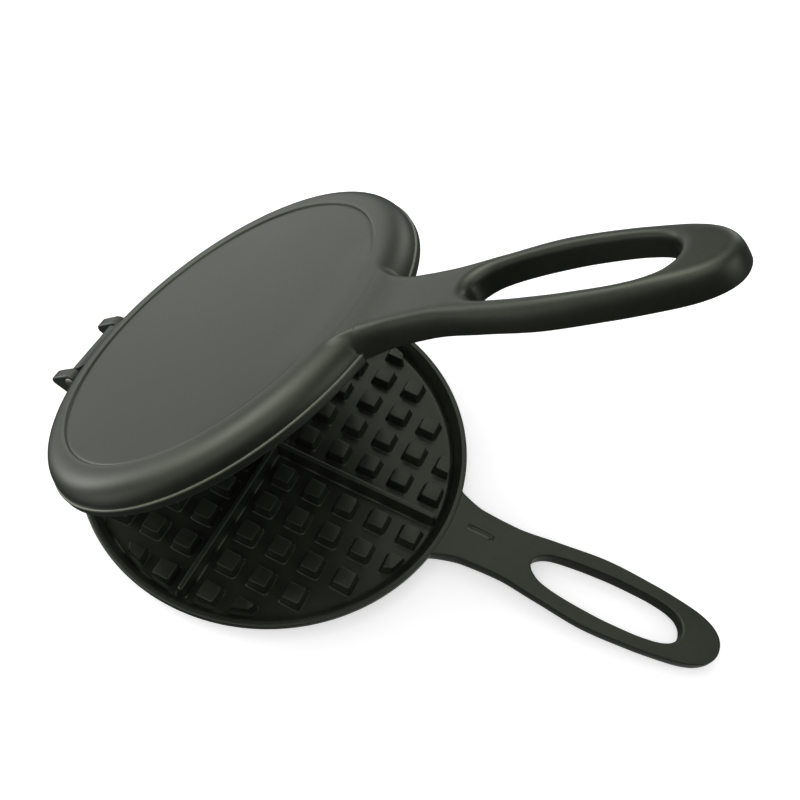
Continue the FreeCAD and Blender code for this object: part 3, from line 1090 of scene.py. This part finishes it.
seasoned(iron, (0.0176, 0.0200, 0.0145), 0.33)
steel = bpy.data.materials.new("bright_steel")
pin_shader = seasoned(steel, (0.16, 0.16, 0.15), 0.36)
pin_shader.inputs["Metallic"].default_value = 0.8
print("materials", iron.name, steel.name)

# %% [markdown]
# Every piece rides on the body that its CAD solid moves with, and stands for that solid, whose
# own mesh is hidden.

# %% Dress the pieces
for piece, half, node in made:
    piece.data.materials.clear()
    piece.data.materials.append(steel if node == "hinge_pin" else iron)
    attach(piece, half)
    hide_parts(node)
    "pin_steel" if node == "hinge_pin" else "seasoned_iron"
print("dressed", len(made), "pieces")

# %% [markdown]
# The photograph is a product shot on white, with a faint contact shadow. The floor glows a little,
# so that it stays white, and only the camera and shadows see it. A pale dome closes the view from
# every other side in the same way.

# %% Floor and backdrop
FLOOR_HALF = 4.0
FLOOR_DROP = 0.0002
DOME_RADIUS = 3.9
DOME_LEVELS = 13
DOME_STEPS = 48
DOME_SUNK = 0.05


def stage_finish(piece, name, kind, **sockets):
    """Give a stage piece a plain finish and mark it as no part of the object."""
    material = bpy.data.materials.new(name)
    finish = Finish(material)
    finish.show(finish.node(kind, None, **sockets))
    piece.data.materials.append(material)


def dome_mesh():
    """A half sphere over the stage, in levels from the floor up to a small flat top."""
    points = []
    for level in range(DOME_LEVELS):
        height = math.pi / 2 * level / DOME_LEVELS
        for step in range(DOME_STEPS):
            a = 2 * math.pi * step / DOME_STEPS
            points.append((DOME_RADIUS * math.cos(height) * math.cos(a),
                           DOME_RADIUS * math.cos(height) * math.sin(a),
                           DOME_RADIUS * math.sin(height) - DOME_SUNK))
    lid = tuple(range((DOME_LEVELS - 1) * DOME_STEPS, DOME_LEVELS * DOME_STEPS))
    return points, sheet_faces(DOME_LEVELS, DOME_STEPS, closed=True) + [lid]


floor_corners = [(-FLOOR_HALF, -FLOOR_HALF, 0), (FLOOR_HALF, -FLOOR_HALF, 0),
                 (FLOOR_HALF, FLOOR_HALF, 0), (-FLOOR_HALF, FLOOR_HALF, 0)]
floor = add_mesh("floor", floor_corners, [(0, 1, 2, 3)])
floor.location.z = -FLOOR_DROP
floor.visible_glossy = False
floor.visible_diffuse = False
backdrop = add_mesh("backdrop", *dome_mesh())
for hidden in ("visible_glossy", "visible_diffuse", "visible_shadow", "visible_transmission"):
    setattr(backdrop, hidden, False)
stage_finish(floor, "pale_floor", "ShaderNodeBsdfPrincipled", Base_Color=(0.85, 0.85, 0.85, 1),
             Roughness=0.9, Emission_Color=(1, 1, 1, 1), Emission_Strength=0.5)
stage_finish(backdrop, "pale_backdrop", "ShaderNodeEmission", Color=(1, 1, 1, 1))
print("floor and backdrop ready")

# %% [markdown]
# Dark glossy iron shows mostly what it reflects, so its light is a set of soft panels round the
# whole sky. Each is a smooth glow about one direction, given by its azimuth and elevation in
# degrees, how narrow it is, and its level. Lamps would do too, but a glow has no hard edge.

# %% The studio's light
PANELS = (
    (150, -14, 30, 0.58), (225, -22, 16, 0.66), (135, -4, 22, 1.10), (180, -6, 18, 1.33),
    (225, -6, 18, 0.80), (184, -11, 60, 3.20), (90, 12, 18, 2.10), (0, 34, 14, 2.10),
    (180, 34, 14, 4.90), (240, 34, 14, 0.95), (120, 57, 16, 0.68), (90, 60, 12, 0.55),
    (180, 60, 12, 2.10), (270, 60, 12, 1.36), (20, -55, 4, 0.45),
)
world = bpy.data.worlds.new("studio")
bpy.context.scene.world = world
world.use_nodes = True
sky = Finish(world)
towards = sky.node("ShaderNodeTexCoord").outputs["Generated"]
glow = 0.0
for turn, height, narrow, level in PANELS:
    turn = math.radians(turn)
    height = math.radians(height)
    centre = (math.cos(turn) * math.cos(height), math.sin(turn) * math.cos(height),
              math.sin(height))
    aligned = Value(sky, sky.node("ShaderNodeVectorMath", {"operation": "DOT_PRODUCT"},
                                  i0=towards, i1=centre).outputs["Value"])
    glow = glow + ((aligned - 1.0) * narrow).exponent() * level
sky.show(sky.node("ShaderNodeBackground", None, Strength=glow), "ShaderNodeOutputWorld")
bpy.context.scene.view_settings.view_transform = "Standard"
print("stage ready")
